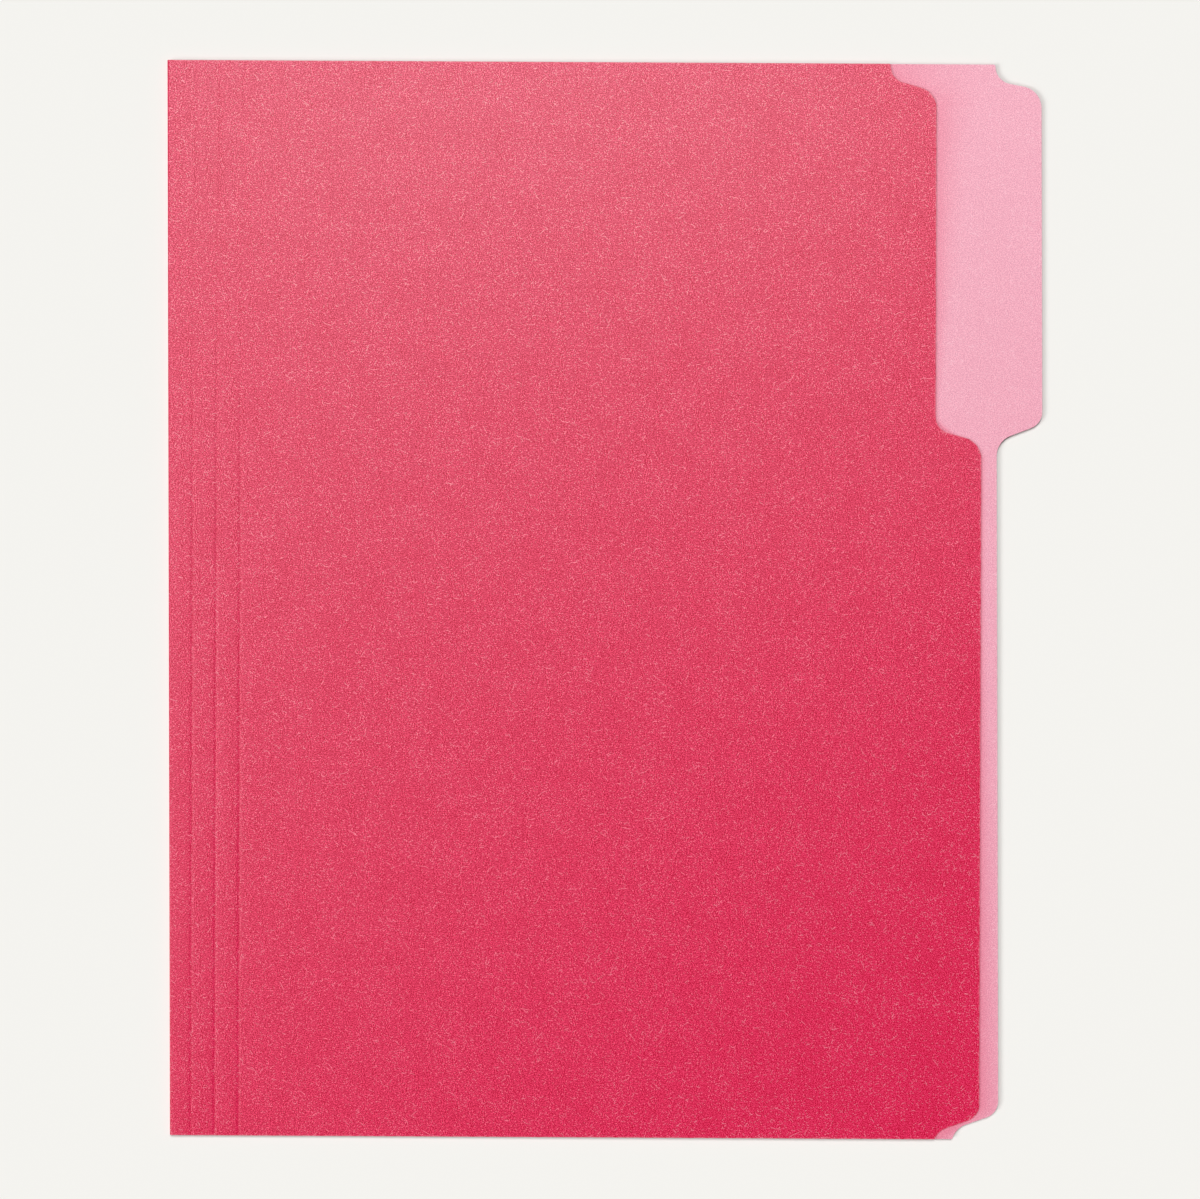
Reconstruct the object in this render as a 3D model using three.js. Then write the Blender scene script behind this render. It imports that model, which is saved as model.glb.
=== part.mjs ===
// A letter-size file folder in two-colour card, lying closed on its back leaf.
//
// It is one die-cut sheet of duplex card: a red outer ply pasted to a pink inner ply. The sheet is
// folded once, and three lines are scored beside the fold so that the base can be widened.
//
// X runs from the fold to the tab, Y along the fold towards the tab's end, and Z up from the table.
// The origin is at the centre of the closed folder's underside. All sizes are in millimetres.

import * as THREE from 'three';

// Sheet
const sheetHeight = 298.45; // along the fold, 11 3/4 in
const outerPly = 0.14;
const innerPly = 0.14;
const leafGap = 0.6; // air between the closed leaves

// Distances from the outside of the fold to each free edge
const tabReach = 243.1;
const backWidth = 230.4;
const backTopWidth = 229.4; // where the tab's upper shoulder starts on the end of the sheet
const frontWidth = 225.4;

// Tab, cut to a third of the sheet's height, and the stretch of the front leaf cut back to show it.
// These are distances along the edge from the tab's end of the sheet.
const tabStart = 13.4;
const tabEnd = 96.5;
const undercutDepth = 12.7;
const undercutStart = 12.8;
const undercutEnd = 97.8;
const shoulderEnd = 109.5; // the lower shoulders of both leaves run out level with each other

// Shoulders: an S of two equal arcs and the straight between them
const shoulderRadius = 5.4;
const tipRadius = 0.6; // rounding where an upper shoulder meets the end of the sheet
const baseShoulderDepth = 13;
const baseShoulderLength = 12.2; // of the whole S, which the end of the sheet cuts short
const backBaseStart = 11; // distance of the S's start from the end of the sheet
const frontBaseStart = 9.7;

// Scored lines: pressed in from the outside, with a raised bead on the inside
const scoreCount = 3;
const firstScoreDistance = 6.7; // from the outside of the fold
const scorePitch = 6.6;
const scoreWidth = 2;
const scoreDepth = 0.1;

// The front leaf was folded a little out of square: its scores and its free edge are this much
// further from the fold at the tab's end of the sheet than at the other end.
const frontRunout = 1.6;

// Facets
const arcSteps = 5; // a curve takes twice as many
const foldSteps = 6;
const scoreSteps = 8;

const card = outerPly + innerPly;
const foldRadius = leafGap / 2 + card; // outside of the bend
const halfHeight = sheetHeight / 2;
const lean = frontRunout / sheetHeight;

// Everything below is drawn from the centre line of the bend, where the flat leaves begin.
const fromFold = (distance) => distance - foldRadius;
const fromTop = (distance) => halfHeight - distance;
const scoreAt = (index) => fromFold(firstScoreDistance + index * scorePitch);

const paper = { roughness: 0.88, metalness: 0, flatShading: true };
const redCard = new THREE.MeshStandardMaterial({ color: 0xe0496c, ...paper });
const pinkCard = new THREE.MeshStandardMaterial({ color: 0xf0a9bf, ...paper });

// The two plies of the lower leaf, whose outside faces down, and of the upper one, turned over by
// the fold. base is the height of the ply's underside.
const backPlies = [
  { ply: 'outer_ply', thickness: outerPly, base: 0, material: redCard },
  { ply: 'inner_ply', thickness: innerPly, base: outerPly, material: pinkCard },
];
const frontPlies = [
  { ply: 'inner_ply', thickness: innerPly, base: card + leafGap, material: pinkCard },
  { ply: 'outer_ply', thickness: outerPly, base: card + leafGap + innerPly, material: redCard },
];
const foldPlies = [
  { ply: 'inner_ply', inside: leafGap / 2, outside: leafGap / 2 + innerPly, material: pinkCard },
  { ply: 'outer_ply', inside: leafGap / 2 + innerPly, outside: foldRadius, material: redCard },
];

const folder = new THREE.Group();
folder.position.x = foldRadius - tabReach / 2;

function addPiece(name, geometry, material, height = 0, along = 0) {
  const piece = new THREE.Mesh(geometry, material);
  piece.name = name;
  piece.position.set(along, 0, height);
  folder.add(piece);
}

// An S from one straight stretch of edge to another, both running along the fold. The path goes
// down the sheet's right side. overrun is how far past the end of the sheet the S would end.
function addShoulder(path, startX, startY, endX, endY, overrun = 0) {
  const across = Math.abs(endX - startX);
  const along = startY - endY;
  const spare = across - 2 * shoulderRadius;
  const turn = Math.atan2(spare, along) + Math.asin((2 * shoulderRadius) / Math.hypot(along, spare));
  const cut = Math.asin(overrun / shoulderRadius);
  if (endX > startX) {
    path.absarc(startX + shoulderRadius, startY, shoulderRadius, Math.PI, Math.PI + turn, false);
    path.absarc(endX - shoulderRadius, endY, shoulderRadius, turn, cut, true);
  } else {
    path.absarc(startX - shoulderRadius, startY, shoulderRadius, 0, -turn, true);
    path.absarc(endX + shoulderRadius, endY, shoulderRadius, Math.PI - turn, Math.PI - cut, false);
  }
}

// The rounded corner and the shoulder that lead from the end of the sheet to its free edge
function addTopShoulder(path, topX, edgeX, straightStart) {
  path.lineTo(topX - tipRadius, halfHeight);
  path.absarc(topX - tipRadius, halfHeight - tipRadius, tipRadius, Math.PI / 2, 0, true);
  addShoulder(path, topX, halfHeight - tipRadius, edgeX, fromTop(straightStart));
}

function addBaseShoulder(path, edgeX, start) {
  const startY = start - halfHeight;
  const overrun = baseShoulderLength - start;
  addShoulder(path, edgeX, startY, edgeX - baseShoulderDepth, startY - baseShoulderLength, overrun);
}

function backOutline() {
  const tabX = fromFold(tabReach);
  const edgeX = fromFold(backWidth);
  const path = new THREE.Shape();
  path.moveTo(0, halfHeight);
  addTopShoulder(path, fromFold(backTopWidth), tabX, tabStart);
  addShoulder(path, tabX, fromTop(tabEnd), edgeX, fromTop(shoulderEnd));
  addBaseShoulder(path, edgeX, backBaseStart);
  path.lineTo(0, -halfHeight);
  return path;
}

function frontOutline() {
  const startX = scoreAt(scoreCount - 1) + scoreWidth / 2;
  const edgeX = fromFold(frontWidth);
  const cutX = edgeX - undercutDepth;
  const path = new THREE.Shape();
  path.moveTo(startX, halfHeight);
  addTopShoulder(path, cutX - undercutDepth, cutX, undercutStart);
  addShoulder(path, cutX, fromTop(undercutEnd), edgeX, fromTop(shoulderEnd));
  addBaseShoulder(path, edgeX, frontBaseStart);
  path.lineTo(startX, -halfHeight);
  return path;
}

// A strip between two creases. The first one starts on the fold, which doesn't lean.
function stripOutline(index) {
  const endX = scoreAt(index) - scoreWidth / 2;
  const startX = index === 0 ? 0 : scoreAt(index - 1) + scoreWidth / 2;
  const unlean = index === 0 ? lean * halfHeight : 0;
  return new THREE.Shape([
    new THREE.Vector2(startX - unlean, halfHeight),
    new THREE.Vector2(startX + unlean, -halfHeight),
    new THREE.Vector2(endX, -halfHeight),
    new THREE.Vector2(endX, halfHeight),
  ]);
}

// A cross-section of one ply at a score, between the flat strips on its two sides
function scoreSection(thickness) {
  const surface = Array.from({ length: scoreSteps + 1 }, (_, step) => {
    const share = step / scoreSteps;
    const dip = (scoreDepth * (1 - Math.cos(2 * Math.PI * share))) / 2;
    return new THREE.Vector2((share - 0.5) * scoreWidth, -dip);
  });
  const upper = surface.map((point) => new THREE.Vector2(point.x, point.y + thickness));
  return new THREE.Shape([...surface, ...upper.reverse()]);
}

// A cross-section of one ply round the fold: half a ring, open towards the leaves
function foldSection(inside, outside) {
  const section = new THREE.Shape();
  section.absarc(0, 0, outside, Math.PI / 2, 1.5 * Math.PI, false);
  section.absarc(0, 0, inside, 1.5 * Math.PI, Math.PI / 2, true);
  return section;
}

function panel(outline, thickness) {
  return new THREE.ExtrudeGeometry(outline, {
    depth: thickness,
    bevelEnabled: false,
    curveSegments: arcSteps,
  });
}

// Drawn in X and Z, and run along the whole fold
function crease(section) {
  const geometry = new THREE.ExtrudeGeometry(section, {
    depth: sheetHeight,
    bevelEnabled: false,
    curveSegments: foldSteps,
  });
  return geometry.rotateX(Math.PI / 2).translate(0, halfHeight, 0);
}

// Moves each point away from the fold in proportion to its place along the fold
function leaning(geometry) {
  return geometry.applyMatrix4(new THREE.Matrix4().makeShear(0, 0, lean, 0, 0, 0));
}

for (const { ply, thickness, base, material } of backPlies) {
  addPiece(`back_leaf_${ply}`, panel(backOutline(), thickness), material, base);
}

for (const { ply, inside, outside, material } of foldPlies) {
  addPiece(`fold_${ply}`, crease(foldSection(inside, outside)), material, card + leafGap / 2);
}

for (const { ply, thickness, base, material } of frontPlies) {
  for (let index = 0; index < scoreCount; index += 1) {
    const strip = leaning(panel(stripOutline(index), thickness));
    const score = leaning(crease(scoreSection(thickness)));
    addPiece(`gusset_strip_${index + 1}_${ply}`, strip, material, base);
    addPiece(`score_${index + 1}_${ply}`, score, material, base, scoreAt(index));
  }
  addPiece(`front_leaf_${ply}`, leaning(panel(frontOutline(), thickness)), material, base);
}

export default folder;
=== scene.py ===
import math

import bmesh
import bpy
from mathutils import Matrix, Vector


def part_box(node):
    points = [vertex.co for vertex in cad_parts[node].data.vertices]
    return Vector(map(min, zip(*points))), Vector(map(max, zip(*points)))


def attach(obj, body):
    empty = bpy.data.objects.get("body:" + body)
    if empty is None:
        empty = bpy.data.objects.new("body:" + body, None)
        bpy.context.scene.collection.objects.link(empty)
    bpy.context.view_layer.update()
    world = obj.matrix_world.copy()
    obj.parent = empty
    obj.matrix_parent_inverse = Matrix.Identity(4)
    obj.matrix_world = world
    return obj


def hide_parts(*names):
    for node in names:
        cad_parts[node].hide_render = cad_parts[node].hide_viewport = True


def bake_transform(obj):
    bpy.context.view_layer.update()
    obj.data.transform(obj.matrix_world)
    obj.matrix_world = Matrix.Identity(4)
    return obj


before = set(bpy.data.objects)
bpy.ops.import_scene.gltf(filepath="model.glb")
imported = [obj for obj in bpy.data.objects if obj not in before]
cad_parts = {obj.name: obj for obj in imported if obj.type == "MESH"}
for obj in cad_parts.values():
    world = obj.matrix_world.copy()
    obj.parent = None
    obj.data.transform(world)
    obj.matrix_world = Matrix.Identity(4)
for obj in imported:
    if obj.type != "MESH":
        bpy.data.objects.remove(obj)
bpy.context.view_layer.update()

#
# The folder is one die-cut sheet of two plies. Each ply is cut here as a flat blank, scored, and
# then folded into the frame of the solids. Blank and folder are drawn in millimetres: on the blank,
# x runs from the main fold out over the back leaf, and below zero over the bend and the front leaf.
# y runs along the fold, and z is the height over the glue line, towards the red outside.

MM = 0.001

# Sheet
SHEET_HEIGHT = 298.45
HALF_HEIGHT = SHEET_HEIGHT / 2
PLY = 0.14
LEAF_GAP = 0.6

# Bend of the main fold
GLUE_RADIUS = LEAF_GAP / 2 + PLY  # of the glue line round the bend
BEND_HEIGHT = LEAF_GAP / 2 + 2 * PLY  # of the bend's centre over the table
BEND_LENGTH = math.pi * GLUE_RADIUS
BEND_PINCH = 0.88  # the pressed bend stands out by this share of a half ring
FRONT_LEVEL = BEND_HEIGHT + GLUE_RADIUS  # of the front leaf's glue line over the table
FOLD_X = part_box("back_leaf_outer_ply")[0].x / MM  # where the flat leaves begin

# Distances from the bend's centre line to each free edge
TAB_X = 242.2
BACK_X = 229.52
BACK_TOP_X = 229.47
FRONT_X = 224.96
UNDERCUT = 12.7  # how far the front leaf is cut back opposite the tab
FRONT_TOP_X = FRONT_X - 2 * UNDERCUT  # where the undercut's upper shoulder starts

# Distances down the free edge from the tab's end of the sheet
TAB_START = 12
TAB_END = 96.4
UNDERCUT_START = 12.3
UNDERCUT_END = 97.8
BACK_SHOULDER_END = 108.7
FRONT_SHOULDER_END = 109.5

# Shoulders
LEAVING_RADIUS = 4.8  # of a shoulder's first arc, down the sheet
MEETING_RADIUS = 6  # and of its second
TIP_RADIUS = 0.6  # rounding where an upper shoulder meets the end of the sheet
BASE_DEPTH = 13
BASE_LENGTH = 12.2  # of the whole S at the base, which the end of the sheet cuts short
BACK_BASE_START = 10.6  # distance of the S's start from the end of the sheet
FRONT_BASE_START = 9.7

# Scores, as distances from the bend's centre line
SCORES = (6.12, 12.72, 19.32)
SCORE_PITCH = SCORES[1] - SCORES[0]
SCORE_WIDTH = 1.6
SCORE_DEPTH = 0.08
SCORE_PRESSED = (0.75, 1, 0.95)  # how hard each one is pressed
# How much shallower they get towards the two ends of the sheet, and over which stretch, outwards
# from the sheet's middle
SHALLOWER_AT_TAB = 0.42
SHALLOWER_TO_TAB = (-30, 100)
SHALLOWER_AT_BASE = 0.12
SHALLOWER_TO_BASE = (60, 140)

# The sheet as it was folded and cut
FRONT_RUNOUT = 1.6  # the front leaf's edge lies this much further out at the tab's end
LEAN = FRONT_RUNOUT / SHEET_HEIGHT
SKEW = -0.0078  # both ends of the photographed sheet fall towards the tab by this slope
EDGE_ROUNDING = 0.08  # where the knife pressed the face over the cut
EDGE_BAND = 0.45  # width of the handled, worn band along a cut

# How the leaves spring and wave. A pair is where a lift starts and where it is full: over the leaf
# from the bend (ACROSS), or along the sheet from its middle (UP or DOWN).
FRONT_SPRING = 0.05
FRONT_SPRING_ACROSS = (25, 215)
CORNER_SPRING = 0.03  # added where the front leaf is cut back
CORNER_ACROSS = (110, 225)
CORNER_UP = (10, 90)
FRONT_WAVE = 0.03
FRONT_WAVE_ACROSS = (22, 60)
BACK_SPRING = 0.5
BACK_SPRING_ACROSS = (140, 214)
BACK_WAVE = 0.04
BACK_END_LIFT = 0.18
BACK_END_ACROSS = (10, 90)
BACK_END_DOWN = (100, 150)
# Each wave's length, as that of one radian, and its shift, in radians
FRONT_SWELL_X = (31, 0.6)
FRONT_SWELL_Y = (43, 0.9)
BACK_SWELL_Y = (47, 1.1)

# Fineness of the meshes
ARC_STEP = math.radians(6)
LEAST_ARC_STEPS = 4
ROUNDING_STEPS = 2
BEND_STEPS = 24
SCORE_STEPS = 10
GRID = 5.0  # spacing of the lines that let a leaf wave
BACK_LINES_TO = 240  # and how far they reach over each leaf, and up and down the sheet
FRONT_LINES = (25, 220)
LINES_ALONG = 145
SHARP_ANGLE = math.radians(18)
NEAR = 1e-4  # points closer than this lie on one line
WALL_RISE = 0.5  # the normal of a cut wall rises less than this,
FLAT_RISE = 0.95  # and that of a flat face more than this

# Patterns of the card. Real fibres are 0.03 mm wide, and these are drawn as coarse as the picture
# can show. The felt is a little longer along the sheet's width, as the paper machine lays it.
PATTERN = 500.0  # the blank's pattern map is this wide
FELT_LENGTH = 0.3
FELT_WIDTH = 0.23
FELT_RELIEF = 0.1
CUT_RELIEF = 0.02
CLOUD = 11  # size of the clouds where more undyed fibre lies at the surface
FLECK = 1.9  # and of the flecks
CLOUDING = 0.13  # how far both shift the tone, next to the felt

# Fibres: the cell of a grid that each lies in, its length, its width to each side, and the share
# of the cells that have one
SPECKS = (0.62, 0.42, 0.1, 0.3)
SHORT_FIBRES = (2.4, 1.7, 0.09, 0.2)
LONG_FIBRES = (7.0, 3.6, 0.08, 0.12)
FIBRE_TURN = 1.2  # most that one lies off the sheet's width, in radians
FIBRE_BOW = 1.6  # most that one bends aside at one cell from its middle, in cells
FIBRE_CORE = 0.3  # how far from its middle line one shows in full, as a share of its width,
FIBRE_SHANK = 0.2  # and how far along it, as a share of its length
FIBRE_RELIEF = 0.4  # its height, as a share of the felt's

# Gloss and wear
CARD_IOR = 1.53  # of cellulose
ROUGHNESS_RANGE = 0.04  # up and down, with the felt
RUBBED = 0.3  # most of the dye that handling took off the rim

# Scores in the finish: how much darker and smoother the pressed card is. The darkening is partly
# the pressed card's own tone and partly painted shade of the groove
SCORE_TONE_AND_SHADE = 0.05
SCORE_SMOOTHER = 0.03
SCORE_CORE = 0.1  # how far from its middle line that shows in full, as a share of half its width
SCORE_AT_TAB = 0.8  # share of it that is left at the tab's end
SCORE_WEAKENS = (-60, 110)  # stretch over which it weakens, up the sheet from its middle

# Width of the painted shade that the front leaf casts beyond its cut on the pink, and how much
# wider that gets up the tab, within the undercut's upper shoulder, and down the strip of back leaf
# below the tab
SHADE_SPREAD = 2
SHADE_SPREAD_UP_TAB = 14
SHADE_SPREAD_IN_SHOULDER = 22
SHADE_SPREAD_DOWN_STRIP = 8.2
TAB_FOOT = 58  # where it starts to get wider, up the sheet from its middle
STRIP_START = -10

# Floor, light and camera
FLOOR_DROP = 0.5  # the sheet touches the table at a few places only
FLOOR_REACH = 40_000  # from its middle, past what any view shows
ROOM_LIGHT = 0.06
LENS = 85
SENSOR = 36
FRAME_WIDTH = 333.0  # what the picture shows from side to side, at the height of the cover
COVER_HEIGHT = 1.2
CAMERA_X = -1.7
CAMERA_Y = 0.1
CAMERA_DISTANCE = FRAME_WIDTH * LENS / SENSOR
CAMERA_TURN = -0.0023  # in radians


# The blank

def cut_straight(bm, corner, x, y):
    """A straight cut from a corner to (x, y)."""
    end = bmesh.ops.extrude_vert_indiv(bm, verts=[corner])["verts"][0]
    end.co = (x, y, 0)
    return end


def cut_round(bm, corner, x, y, turn):
    """A round cut from a corner, turning about (x, y), anticlockwise if turn is positive."""
    steps = max(LEAST_ARC_STEPS, round(abs(turn) / ARC_STEP))
    spun = bmesh.ops.spin(
        bm, geom=[corner], cent=(x, y, 0), axis=(0, 0, 1), dvec=(0, 0, 0),
        angle=turn, steps=steps, use_merge=False,
    )
    return next(part for part in spun["geom_last"] if isinstance(part, bmesh.types.BMVert))


def cut_shoulder(bm, corner, end_x, end_y, overrun=0.0):
    """An S of two arcs and the straight between them, down the sheet from one edge to another.

    overrun is how far past the end of the sheet the S would end.
    """
    start_x, start_y = corner.co.x, corner.co.y
    out = 1 if end_x > start_x else -1
    radii = LEAVING_RADIUS + MEETING_RADIUS
    spare = abs(end_x - start_x) - radii
    along = start_y - end_y
    turn = math.atan2(spare, along) + math.asin(radii / math.hypot(along, spare))
    stop = math.asin(overrun / MEETING_RADIUS)
    corner = cut_round(bm, corner, start_x + out * LEAVING_RADIUS, start_y, out * turn)
    second_x = end_x - out * MEETING_RADIUS
    corner = cut_straight(
        bm, corner,
        second_x + out * MEETING_RADIUS * math.cos(turn),
        end_y + MEETING_RADIUS * math.sin(turn),
    )
    return cut_round(bm, corner, second_x, end_y, -out * (turn - stop))


def cut_leaf(bm, fold_x, top_x, upper_x, upper_start, upper_end, lower_x, lower_start, base_start):
    """The outline of one leaf, down its free edge, filled with one face."""
    first = bm.verts.new((fold_x, HALF_HEIGHT, 0))
    corner = cut_straight(bm, first, top_x - TIP_RADIUS, HALF_HEIGHT)
    corner = cut_round(bm, corner, top_x - TIP_RADIUS, HALF_HEIGHT - TIP_RADIUS, -math.pi / 2)
    corner = cut_shoulder(bm, corner, upper_x, HALF_HEIGHT - upper_start)
    corner = cut_straight(bm, corner, upper_x, HALF_HEIGHT - upper_end)
    corner = cut_shoulder(bm, corner, lower_x, HALF_HEIGHT - lower_start)
    base_y = base_start - HALF_HEIGHT
    corner = cut_straight(bm, corner, lower_x, base_y)
    corner = cut_shoulder(
        bm, corner, lower_x - BASE_DEPTH, base_y - BASE_LENGTH, overrun=BASE_LENGTH - base_start
    )
    last = cut_straight(bm, corner, fold_x, -HALF_HEIGHT)
    bm.edges.new((last, first))
    bmesh.ops.edgeloop_fill(bm, edges=bm.edges[:])


def cut_back(bm):
    cut_leaf(
        bm, fold_x=0.0, top_x=BACK_TOP_X, upper_x=TAB_X, upper_start=TAB_START,
        upper_end=TAB_END, lower_x=BACK_X, lower_start=BACK_SHOULDER_END,
        base_start=BACK_BASE_START,
    )


def cut_front(bm):
    """The front leaf and, towards the back leaf, the strip of card that makes the bend."""
    cut_leaf(
        bm, fold_x=-BEND_LENGTH, top_x=FRONT_TOP_X, upper_x=FRONT_X - UNDERCUT,
        upper_start=UNDERCUT_START, upper_end=UNDERCUT_END, lower_x=FRONT_X,
        lower_start=FRONT_SHOULDER_END, base_start=FRONT_BASE_START,
    )
    turned_over = Matrix.Translation((-BEND_LENGTH, 0, 0)) @ Matrix.Scale(-1, 4, (1, 0, 0))
    bmesh.ops.transform(bm, verts=bm.verts[:], matrix=turned_over)


def thicken(bm, height):
    """Turns the face into a plate from the glue line to height, and eases the rim of its face."""
    bmesh.ops.inset_region(
        bm, faces=bm.faces[:], thickness=EDGE_BAND, use_boundary=True, use_even_offset=True
    )
    made = bmesh.ops.extrude_face_region(bm, geom=bm.faces[:])["geom"]
    raised = [part for part in made if isinstance(part, bmesh.types.BMVert)]
    bmesh.ops.translate(bm, verts=raised, vec=(0, 0, height))
    bmesh.ops.recalc_face_normals(bm, faces=bm.faces[:])
    rim = [
        edge for edge in bm.edges
        if all(abs(vert.co.z - height) < NEAR for vert in edge.verts)
        and any(abs(face.normal.z) < WALL_RISE for face in edge.link_faces)
        and not all(abs(vert.co.x) < NEAR for vert in edge.verts)
    ]
    bmesh.ops.bevel(
        bm, geom=rim, offset=EDGE_ROUNDING, offset_type="OFFSET", segments=ROUNDING_STEPS,
        profile=0.5, affect="EDGES", material=-1, clamp_overlap=True,
    )


def evenly(start, end, count):
    return [start + (end - start) * index / count for index in range(count + 1)]


def on_grid(start, end):
    return evenly(start, end, round((end - start) / GRID))


def back_lines():
    return on_grid(GRID, BACK_LINES_TO)


def front_lines():
    """Close together over the bend and the scores, and on the grid over the rest of the leaf."""
    bend = evenly(-BEND_LENGTH, 0, BEND_STEPS)[:-1]
    scored = [
        place
        for score in SCORES
        for place in evenly(score - SCORE_WIDTH / 2, score + SCORE_WIDTH / 2, SCORE_STEPS)
    ]
    return bend + [-BEND_LENGTH - place for place in scored + on_grid(*FRONT_LINES)]


def rule(bm, lines):
    """Rules the lines where the plate later bends, and then the grid's lines the other way."""
    across, along = Vector((1, 0, 0)), Vector((0, 1, 0))
    for normal, places in ((across, lines), (along, on_grid(-LINES_ALONG, LINES_ALONG))):
        for place in places:
            bmesh.ops.bisect_plane(
                bm, geom=bm.verts[:] + bm.edges[:] + bm.faces[:], dist=NEAR,
                plane_co=normal * place, plane_no=normal,
            )


def mark_worn(bm):
    """Gives each point 1 on a cut and 0 elsewhere, which the finishes read for the worn rim."""
    worn = bm.verts.layers.float.new("worn")
    for vert in bm.verts:
        on_cut = any(abs(face.normal.z) < FLAT_RISE for face in vert.link_faces)
        on_seam = abs(vert.co.x) < NEAR and abs(vert.co.y) < HALF_HEIGHT - EDGE_BAND
        vert[worn] = 1.0 if on_cut and not on_seam else 0.0


def on_map(distance):
    """A distance on the blank as a coordinate of its pattern map."""
    return distance / PATTERN + 0.5


def map_pattern(bm):
    pattern = bm.loops.layers.uv.new("blank")
    for face in bm.faces:
        for loop in face.loops:
            loop[pattern].uv = (on_map(loop.vert.co.x), on_map(loop.vert.co.y))


# How the sheet lies

def ease(value, start, end):
    """0 before start, 1 after end, and smooth between."""
    share = min(1.0, max(0.0, (value - start) / (end - start)))
    return share * share * (3 - 2 * share)


def swell(place, length, shift):
    return math.sin(place / length + shift)


def front_lift(x, y):
    """How far the front leaf springs up from its flat place, most of all where it is cut back."""
    spring = FRONT_SPRING * ease(x, *FRONT_SPRING_ACROSS)
    corner = CORNER_SPRING * ease(x, *CORNER_ACROSS) * ease(y, *CORNER_UP)
    wave = FRONT_WAVE * swell(x, *FRONT_SWELL_X) * swell(y, *FRONT_SWELL_Y)
    return spring + corner + wave * ease(x, *FRONT_WAVE_ACROSS)


def back_lift(x, y):
    """How far the back leaf's free edge and lower end stand off the table."""
    to_edge = ease(x, *BACK_SPRING_ACROSS)
    edge = (BACK_SPRING + BACK_WAVE * swell(y, *BACK_SWELL_Y)) * to_edge
    end = BACK_END_LIFT * ease(-y, *BACK_END_DOWN) * ease(x, *BACK_END_ACROSS)
    return edge + end * (1 - to_edge)


def score_dip(x, y):
    """Depth of the pressed channels, which get shallower towards the ends of the sheet."""
    to_base = SHALLOWER_AT_BASE * ease(-y, *SHALLOWER_TO_BASE)
    to_tab = SHALLOWER_AT_TAB * ease(y, *SHALLOWER_TO_TAB)
    depth = SCORE_DEPTH * (1.0 - to_base - to_tab)
    for score, pressed in zip(SCORES, SCORE_PRESSED):
        share = (x - score) / SCORE_WIDTH + 0.5
        if 0 < share < 1:
            return depth * pressed * (1 - math.cos(2 * math.pi * share)) / 2
    return 0.0


def fold(vert):
    """Moves a point of the blank to its place in the closed folder."""
    x, y, height = vert.co
    if x >= 0:
        vert.co = (x, y, PLY - height + back_lift(x, y))
    elif x > -BEND_LENGTH:
        turn = -x / GLUE_RADIUS
        radius = GLUE_RADIUS + height
        vert.co = (-BEND_PINCH * radius * math.sin(turn), y, BEND_HEIGHT - radius * math.cos(turn))
    else:
        out = -BEND_LENGTH - x
        leaning = out + LEAN * y * min(1.0, out / (SCORES[0] - SCORE_WIDTH / 2))
        vert.co = (leaning, y, FRONT_LEVEL + height + front_lift(out, y) - score_dip(out, y))
    vert.co.y += SKEW * (vert.co.x - TAB_X / 2)


def put_in_scene(name, data):
    placed = bpy.data.objects.new(name, data)
    bpy.context.scene.collection.objects.link(placed)
    return placed


def finish_piece(name, bm, finishes):
    """The modelled shape as a named object in the scene, with its finishes."""
    mesh = bpy.data.meshes.new(name)
    bm.to_mesh(mesh)
    bm.free()
    for finish in finishes:
        mesh.materials.append(finish)
    return put_in_scene(name, mesh)


def make_ply(name, cut, lines, height, face_finish, cut_finish):
    """One ply of one leaf, cut, ruled and folded. height is negative for the ply inside."""
    bm = bmesh.new()
    cut(bm)
    thicken(bm, height)
    rule(bm, lines)
    bm.normal_update()
    mark_worn(bm)
    map_pattern(bm)
    for face in bm.faces:
        face.smooth = True
        face.material_index = 1 if abs(face.normal.z) < WALL_RISE else 0
    for vert in bm.verts:
        fold(vert)
    bmesh.ops.scale(bm, verts=bm.verts[:], vec=(MM, MM, MM))
    bmesh.ops.translate(bm, verts=bm.verts[:], vec=(FOLD_X * MM, 0, 0))
    bmesh.ops.recalc_face_normals(bm, faces=bm.faces[:])
    ply = finish_piece(name, bm, (face_finish, cut_finish))
    ply.data.set_sharp_from_angle(angle=SHARP_ANGLE)
    return ply


# Finishes

def linear(colour):
    """An sRGB hex colour as the linear one that a shader takes."""
    channels = [int(colour[place:place + 2], 16) / 255 for place in (1, 3, 5)]
    return (*(c / 12.92 if c <= 0.04045 else ((c + 0.055) / 1.055) ** 2.4 for c in channels), 1)


def add(tree, kind, inputs=None, **settings):
    """A node with its settings. An input takes a value, a socket, or a node's first output."""
    made = tree.nodes.new("ShaderNode" + kind)
    for name, value in settings.items():
        setattr(made, name, value)
    for socket, value in (inputs or {}).items():
        if isinstance(value, bpy.types.Node):
            value = value.outputs[0]
        if isinstance(value, bpy.types.NodeSocket):
            tree.links.new(value, made.inputs[socket])
        else:
            made.inputs[socket].default_value = value
    return made


def new_material(name):
    material = bpy.data.materials.new(name)
    material.use_nodes = True
    material.node_tree.nodes.clear()
    return material, material.node_tree


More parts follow.
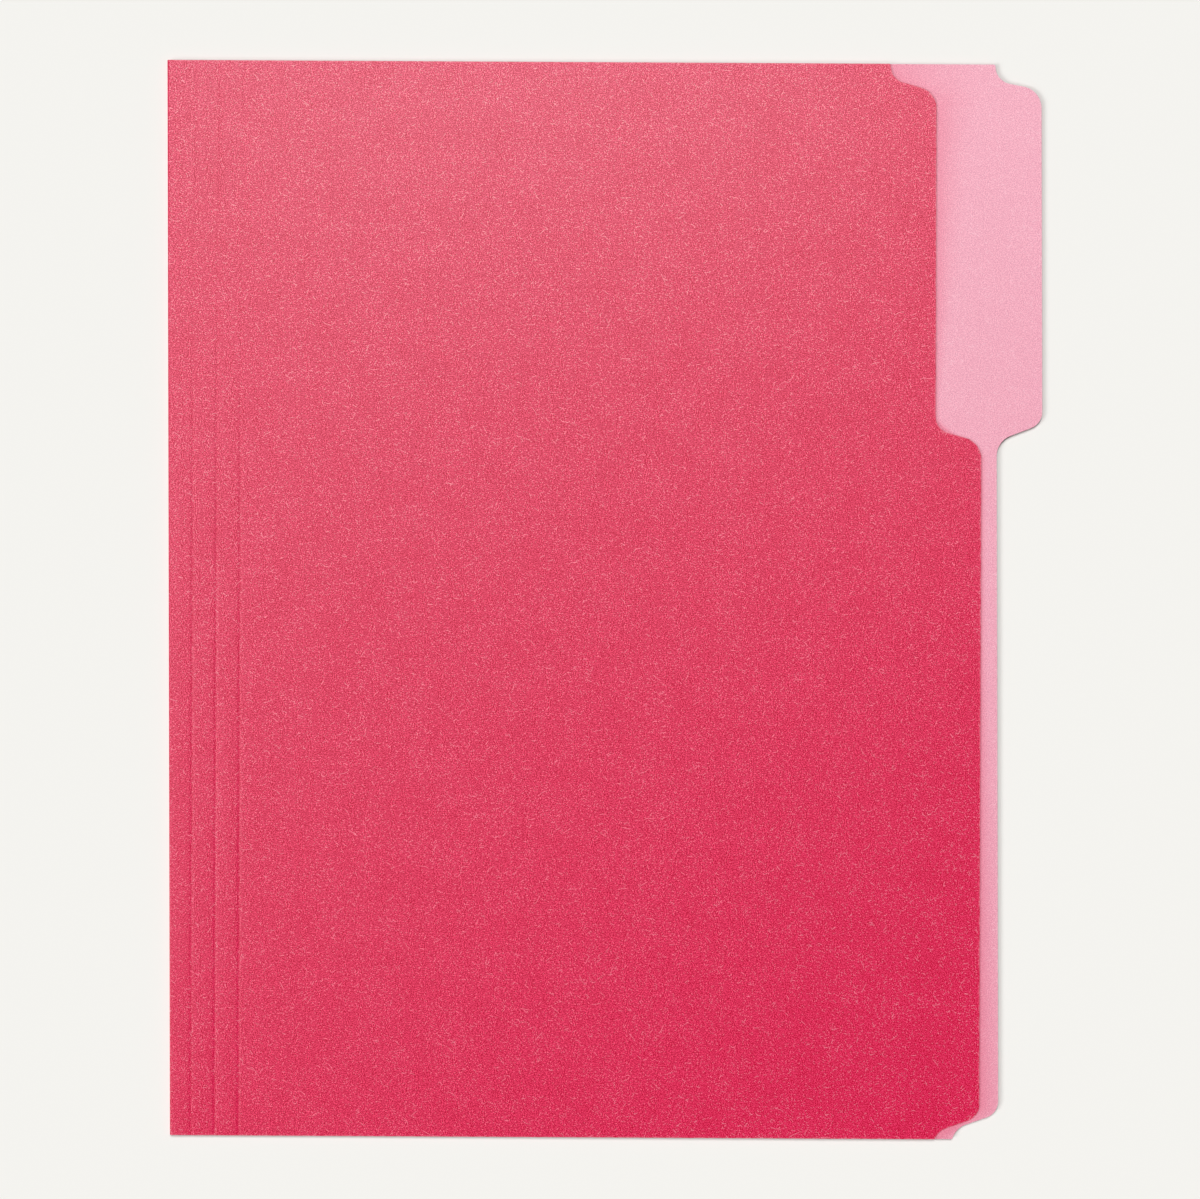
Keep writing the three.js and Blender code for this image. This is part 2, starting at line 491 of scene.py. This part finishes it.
def scatter_fibres(tree, place, crowd, cell, length, width, share):
    """One curved fibre in some of the cells of a grid, which fades towards its sides and ends.

    share is how many cells have one where crowd, a value from 0 to 1, is at its middle.
    """
    cells = add(tree, "VectorMath", {0: place, 1: (PATTERN / cell,) * 3}, operation="MULTIPLY")
    nearest = add(tree, "TexVoronoi", {"Vector": cells, "Scale": 1.0, "Randomness": 1.0},
                  voronoi_dimensions="2D", feature="F1")
    chance = add(tree, "SeparateColor", {"Color": nearest.outputs["Color"]}).outputs
    offset = add(tree, "VectorMath", {0: cells, 1: nearest.outputs["Position"]},
                 operation="SUBTRACT")
    turn = add(tree, "MapRange", {"Value": chance[0], "To Min": -FIBRE_TURN, "To Max": FIBRE_TURN})
    turned = add(tree, "VectorRotate", {"Vector": offset, "Angle": turn}, rotation_type="Z_AXIS")
    axes = add(tree, "SeparateXYZ", {0: turned}).outputs
    bow = add(tree, "MapRange", {"Value": chance[1], "To Min": -FIBRE_BOW, "To Max": FIBRE_BOW})
    squared = add(tree, "Math", {0: axes[0], 1: axes[0]}, operation="MULTIPLY")
    curl = add(tree, "Math", {0: squared, 1: bow}, operation="MULTIPLY")
    across = add(tree, "Math", {0: axes[1], 1: curl}, operation="SUBTRACT")
    across = add(tree, "Math", {0: across}, operation="ABSOLUTE")
    along = add(tree, "Math", {0: axes[0]}, operation="ABSOLUTE")
    thin = add(tree, "MapRange", {"Value": across, "From Min": FIBRE_CORE * width / cell,
                                  "From Max": width / cell, "To Min": 1.0, "To Max": 0.0},
               interpolation_type="SMOOTHSTEP")
    short = add(tree, "MapRange", {"Value": along, "From Min": FIBRE_SHANK * length / cell,
                                   "From Max": length / 2 / cell, "To Min": 1.0, "To Max": 0.0},
                interpolation_type="SMOOTHSTEP")
    body = add(tree, "Math", {0: thin, 1: short}, operation="MULTIPLY")
    wanted = add(tree, "Math", {0: crowd, 1: 2 * share}, operation="MULTIPLY")
    there = add(tree, "Math", {0: chance[2], 1: wanted}, operation="LESS_THAN")
    return add(tree, "Math", {0: body, 1: there}, operation="MULTIPLY")


def near_scores(tree, place):
    """1 in the pressed channels, a little less towards the tab's end, and 0 elsewhere."""
    axes = add(tree, "SeparateXYZ", {0: place}).outputs
    middle = on_map(-BEND_LENGTH - SCORES[1])
    out = add(tree, "Math", {0: axes[0], 1: -middle}, operation="ADD")
    out = add(tree, "Math", {0: out}, operation="ABSOLUTE")
    off_others = add(tree, "Math", {0: out, 1: -SCORE_PITCH / PATTERN}, operation="ADD")
    off_others = add(tree, "Math", {0: off_others}, operation="ABSOLUTE")
    off = add(tree, "Math", {0: out, 1: off_others}, operation="MINIMUM")
    half = SCORE_WIDTH / 2 / PATTERN
    channel = add(tree, "MapRange", {"Value": off, "From Min": SCORE_CORE * half,
                                     "From Max": half, "To Min": 1.0, "To Max": 0.0},
                  interpolation_type="SMOOTHSTEP")
    low, high = SCORE_WEAKENS
    pressed = add(tree, "MapRange", {"Value": axes[1], "From Min": on_map(low),
                                     "From Max": on_map(high), "To Min": 1.0,
                                     "To Max": SCORE_AT_TAB})
    return add(tree, "Math", {0: channel, 1: pressed}, operation="MULTIPLY")


def painted_cover_shade(tree, place):
    """Painted shade of the front leaf on the pink: 1 where the closed front leaf covers the back
    one, and 0 a few millimetres beyond its cut.

    The painted shade fades out beyond the cover's edge, over a width that is narrowest between the
    tab's foot and the start of the strip below it.
    """
    axes = add(tree, "SeparateXYZ", {0: place}).outputs
    # the cover's edge over the blank, from its top: out to the undercut, out again below it, and
    # in at the base
    edge = add(tree, "Math", {0: axes[1], 1: LEAN, 2: on_map(FRONT_TOP_X) - 0.5 * LEAN},
               operation="MULTIPLY_ADD")
    base_y = FRONT_BASE_START - HALF_HEIGHT
    for start, end, out in (
        (HALF_HEIGHT - TIP_RADIUS, HALF_HEIGHT - UNDERCUT_START, UNDERCUT),
        (HALF_HEIGHT - UNDERCUT_END, HALF_HEIGHT - FRONT_SHOULDER_END, UNDERCUT),
        (base_y, base_y - BASE_LENGTH, -BASE_DEPTH),
    ):
        step = add(tree, "MapRange", {"Value": axes[1], "From Min": on_map(start),
                                      "From Max": on_map(end)}, interpolation_type="SMOOTHSTEP")
        edge = add(tree, "Math", {0: step, 1: out / PATTERN, 2: edge}, operation="MULTIPLY_ADD")
    width = SHADE_SPREAD / PATTERN
    for start, end, wider in (
        (TAB_FOOT, HALF_HEIGHT, SHADE_SPREAD_UP_TAB),
        (HALF_HEIGHT - UNDERCUT_START, HALF_HEIGHT, SHADE_SPREAD_IN_SHOULDER),
        (STRIP_START, -HALF_HEIGHT, SHADE_SPREAD_DOWN_STRIP),
    ):
        share = add(tree, "MapRange", {"Value": axes[1], "From Min": on_map(start),
                                       "From Max": on_map(end)})
        width = add(tree, "Math", {0: share, 1: wider / PATTERN, 2: width},
                    operation="MULTIPLY_ADD")
    beyond = add(tree, "Math", {0: axes[0], 1: edge}, operation="SUBTRACT")
    shaded = add(tree, "MapRange", {"Value": beyond, "From Min": 0.0, "From Max": width,
                                  "To Min": 1.0, "To Max": 0.0})
    return add(tree, "Math", {0: shaded, 1: 2.0}, operation="POWER")


def lay_fibres(tree, place, clouds):
    """1 on a fibre of any kind and 0 between. More of them lie where the clouds are paler."""
    crowd = add(tree, "MapRange", {"Value": clouds, "From Min": 0.35, "From Max": 0.65,
                                   "To Min": 0.32, "To Max": 0.68})
    fibres = 0.0
    for kind in (SPECKS, SHORT_FIBRES, LONG_FIBRES):
        scattered = scatter_fibres(tree, place, crowd, *kind)
        fibres = add(tree, "Math", {0: scattered, 1: fibres}, operation="MAXIMUM")
    return fibres


def dye_tone(tree, felt, clouds, flecks, scored, grain):
    """0 where the dye is deepest and 1 where it is palest, with painted shade darkening the scores.
    """
    spots = add(tree, "Math", {0: flecks, 1: clouds}, operation="ADD")
    spots = add(tree, "Math", {0: spots, 1: CLOUDING, 2: 0.5 - CLOUDING},
                operation="MULTIPLY_ADD")
    tone = add(tree, "Math", {0: felt, 1: grain, 2: -0.5 * grain}, operation="MULTIPLY_ADD")
    tone = add(tree, "Math", {0: tone, 1: spots}, operation="ADD")
    # the scores are darkened: partly the pressed card's own tone, partly painted shade of the
    # groove
    return add(tree, "Math", {0: scored, 1: -SCORE_TONE_AND_SHADE, 2: tone}, operation="MULTIPLY_ADD",
               use_clamp=True)


def undyed(tree, tone, flecks, fibres, fibres_seen, salted):
    """How much pale fibre shows: single fibres, salt where the tone is palest, and a rubbed rim."""
    worn = add(tree, "Attribute", attribute_name="worn")
    patches = add(tree, "MapRange", {"Value": flecks, "From Min": 0.35, "From Max": 0.7,
                                     "To Min": 0.0, "To Max": RUBBED})
    rubbed = add(tree, "Math", {0: worn.outputs["Fac"], 1: patches}, operation="MULTIPLY")
    salt = add(tree, "MapRange", {"Value": tone, "From Min": 0.3, "From Max": 1.0})
    salt = add(tree, "Math", {0: salt, 1: 2.0}, operation="POWER")
    salt = add(tree, "Math", {0: salt, 1: salted}, operation="MULTIPLY")
    shown = add(tree, "Math", {0: fibres, 1: fibres_seen, 2: rubbed}, operation="MULTIPLY_ADD")
    return add(tree, "Math", {0: shown, 1: salt}, operation="ADD", use_clamp=True)


def dyed_card(name, colour, depth, pale, grain, fibres_seen, salted, glint, roughness, relief,
              cover_shade=None):
    """Uncoated card, dyed in the pulp: a felted face with paler fibres that took less dye.

    The eye gets a fine salty grain, soft clouds of paler fibre, a few single fibres, a broad weak
    gloss, pressed lines that are a shade darker, partly the pressed card's own tone and partly
    painted shade of the groove, and a rubbed rim. cover_shade is the colour of the painted shade
    that the front leaf casts on the card it covers.
    """
    material, tree = new_material(name)
    place = add(tree, "UVMap", uv_map="blank")
    laid = add(tree, "VectorMath", {0: place, 1: (PATTERN / FELT_LENGTH, PATTERN / FELT_WIDTH, 1)},
               operation="MULTIPLY")
    felt = add(tree, "TexNoise", {"Vector": laid, "Scale": 1.0, "Detail": 2.0,
                                  "Roughness": 0.6, "Distortion": 0.4}, noise_dimensions="2D")
    clouds = add(tree, "TexNoise", {"Vector": place, "Scale": PATTERN / CLOUD, "Detail": 3.0,
                                    "Roughness": 0.6}, noise_dimensions="2D")
    flecks = add(tree, "TexNoise", {"Vector": place, "Scale": PATTERN / FLECK, "Detail": 2.0,
                                    "Roughness": 0.55}, noise_dimensions="2D")
    fibres = lay_fibres(tree, place, clouds)
    scored = near_scores(tree, place)
    tone = dye_tone(tree, felt, clouds, flecks, scored, grain)
    shown = undyed(tree, tone, flecks, fibres, fibres_seen, salted)
    coloured = add(tree, "MixRGB", {"Fac": tone, "Color1": linear(depth),
                                    "Color2": linear(colour)})
    coloured = add(tree, "MixRGB", {"Fac": shown, "Color1": coloured, "Color2": linear(pale)})
    # painted shade: the pink is darkened under the front leaf and in a soft band beyond its cut
    if cover_shade:
        shaded = painted_cover_shade(tree, place)
        coloured = add(tree, "MixRGB", {"Fac": shaded, "Color1": coloured, "Color2": linear(cover_shade)},
                       blend_type="MULTIPLY")

    height = add(tree, "Math", {0: fibres, 1: FIBRE_RELIEF, 2: felt}, operation="MULTIPLY_ADD")
    bump = add(tree, "Bump", {"Height": height, "Strength": relief, "Distance": FELT_RELIEF * MM})
    matt = add(tree, "MapRange", {"Value": felt, "From Min": 0.2, "From Max": 0.8,
                                  "To Min": roughness + ROUGHNESS_RANGE,
                                  "To Max": roughness - ROUGHNESS_RANGE})
    matt = add(tree, "Math", {0: scored, 1: -SCORE_SMOOTHER, 2: matt}, operation="MULTIPLY_ADD")
    # the pressed tops of the felt shine, and the hollows between them hardly do
    shine = add(tree, "MapRange", {"Value": tone, "To Min": 0.5 - glint, "To Max": 0.5 + glint})
    shader = add(tree, "BsdfPrincipled", {
        "Base Color": coloured, "Normal": bump, "Roughness": matt, "IOR": CARD_IOR,
        "Metallic": 0.0, "Specular IOR Level": shine,
    })
    add(tree, "OutputMaterial", {"Surface": shader})
    return material


def cut_card(name, colour, pale):
    """The knife's cut through a ply: torn fibre ends, a little paler and rougher than the face."""
    material, tree = new_material(name)
    place = add(tree, "UVMap", uv_map="blank")
    ends = add(tree, "TexNoise", {"Vector": place, "Scale": PATTERN / FELT_LENGTH, "Detail": 2.0,
                                  "Roughness": 0.6}, noise_dimensions="2D")
    tone = add(tree, "MapRange", {"Value": ends, "From Min": 0.35, "From Max": 0.7})
    mixed = add(tree, "MixRGB", {"Fac": tone, "Color1": linear(colour), "Color2": linear(pale)})
    bump = add(tree, "Bump", {"Height": ends, "Strength": 0.3, "Distance": CUT_RELIEF * MM})
    shader = add(tree, "BsdfPrincipled", {
        "Base Color": mixed, "Normal": bump, "Roughness": 0.9, "IOR": CARD_IOR, "Metallic": 0.0,
    })
    add(tree, "OutputMaterial", {"Surface": shader})
    return material


def matt_paint(name, colour):
    """Matt paint on a board: an even pale ground with no gloss, which shows soft shadows."""
    material, tree = new_material(name)
    shader = add(tree, "BsdfDiffuse", {"Color": linear(colour), "Roughness": 0.0})
    add(tree, "OutputMaterial", {"Surface": shader})
    return material


# The red face is dyed strongly, so its grain is deep and its few pale fibres stand out.
red_card = dyed_card(
    "dyed_card_red", colour="#ee005c", depth="#b6002a", pale="#ffb4c4", grain=5.2,
    fibres_seen=0.5, salted=0.03, glint=0.42, roughness=0.33, relief=0.3,
)
# The pink one is dyed weakly and looks smoother, with painted shade under and beside the front
# leaf.
pink_card = dyed_card(
    "dyed_card_pink", colour="#f6a8bc", depth="#dc91a6", pale="#ffdde6", grain=4.4,
    fibres_seen=0.4, salted=0.08, glint=0.25, roughness=0.37, relief=0.3, cover_shade="#f9cfda",
)
# Their cuts look like thin paler lines round the sheet.
red_cut = cut_card("dyed_card_red_cut", colour="#cf2e55", pale="#e4708c")
pink_cut = cut_card("dyed_card_pink_cut", colour="#eaa0b6", pale="#f6c6d4")


# The folder

for layer, colour, height, face_finish, cut_finish in (
    ("outer", "red", PLY, red_card, red_cut),
    ("inner", "pink", -PLY, pink_card, pink_cut),
):
    back = make_ply(
        "back_leaf_" + colour, cut_back, back_lines(), height, face_finish, cut_finish
    )
    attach(back, "back_leaf")
    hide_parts("back_leaf_" + layer + "_ply")

    front = make_ply(
        "front_leaf_" + colour, cut_front, front_lines(), height, face_finish, cut_finish
    )
    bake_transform(front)
    nodes = [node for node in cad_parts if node.endswith(layer + "_ply")]
    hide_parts(*(node for node in nodes if not node.startswith("back_leaf")))


# Floor, light and camera

floor_bm = bmesh.new()
bmesh.ops.create_grid(floor_bm, x_segments=2, y_segments=2, size=FLOOR_REACH * MM)
bmesh.ops.translate(floor_bm, verts=floor_bm.verts[:], vec=(0, 0, -FLOOR_DROP * MM))
floor = finish_piece("floor", floor_bm, (matt_paint("matt_paint_pale", "#efeeea"),))


def add_sun(name, towards, strength, angle):
    """A large, even, distant soft light. towards points from the folder to the light."""
    light = bpy.data.lights.new(name, "SUN")
    light.energy = strength
    light.angle = math.radians(angle)
    lamp = put_in_scene(name, light)
    lamp.rotation_mode = "QUATERNION"
    lamp.rotation_quaternion = Vector(towards).to_track_quat("Z", "Y")


add_sun("upper_soft_light", towards=(0.02, 0.42, 0.91), strength=1.93, angle=24)
add_sun("left_soft_light", towards=(-0.34, 0.01, 0.94), strength=0.56, angle=24)
add_sun("key_light", towards=(-0.72, -0.28, 0.63), strength=1.33, angle=26)

world = bpy.data.worlds.new("studio")
world.use_nodes = True
room = world.node_tree.nodes["Background"]
room.inputs["Color"].default_value = (1, 1, 1, 1)
room.inputs["Strength"].default_value = ROOM_LIGHT
bpy.context.scene.world = world
bpy.context.scene.view_settings.view_transform = "Standard"

camera_data = bpy.data.cameras.new("camera")
camera_data.lens = LENS
camera_data.sensor_width = SENSOR
camera = put_in_scene("camera", camera_data)
camera.location = (CAMERA_X * MM, CAMERA_Y * MM, (CAMERA_DISTANCE + COVER_HEIGHT) * MM)
camera.rotation_euler = (0, 0, CAMERA_TURN)
bpy.context.scene.camera = camera
